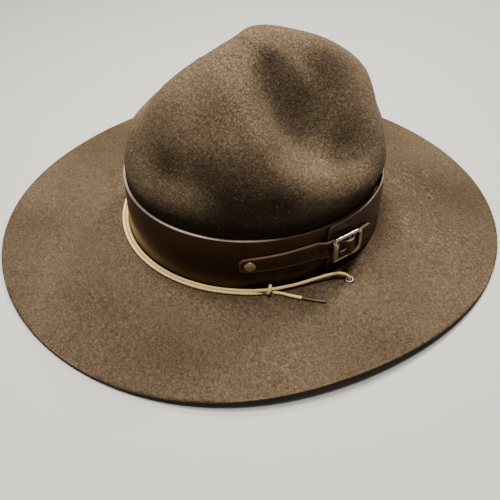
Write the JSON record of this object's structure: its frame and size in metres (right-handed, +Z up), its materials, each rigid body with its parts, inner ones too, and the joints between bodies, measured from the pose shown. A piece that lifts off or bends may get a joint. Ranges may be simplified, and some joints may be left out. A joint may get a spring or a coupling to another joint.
{
  "type": "campaign hat",
  "caption": "Stiff felt hat with a four-dent peaked crown, wide near-flat brim, wide leather band, buckled strap and chin cord.",
  "frame": {"origin": "under the middle of the hat, on the surface that the brim rests on", "axes": "+X to the wearer's left, +Y to the rear of the hat, +Z up"},
  "size_m": [0.3478, 0.3978, 0.1484],
  "materials": {
    "felt": "fuzzy wool felt, warm brown",
    "band_leather": "smooth, glossy dark brown",
    "strap_leather": "smooth, burnished edges",
    "rivet_metal": "antique, dull",
    "nickel": "nickel plate, slightly worn",
    "cord": "braided, tan",
    "cord_tip": "dark bound end"
  },
  "bodies": {
    "root": {"felt_body": "felt", "hat_band": "band_leather", "strap": "strap_leather", "buckle_keeper": "strap_leather", "strap_rivet": "rivet_metal", "buckle_frame": "nickel", "buckle_roller": "nickel", "buckle_prong": "nickel", "eyelet_left": "nickel", "eyelet_right": "nickel", "chin_cord": "cord", "cord_tip_left": "cord_tip", "cord_tip_right": "cord_tip"}
  },
  "joints": []
}
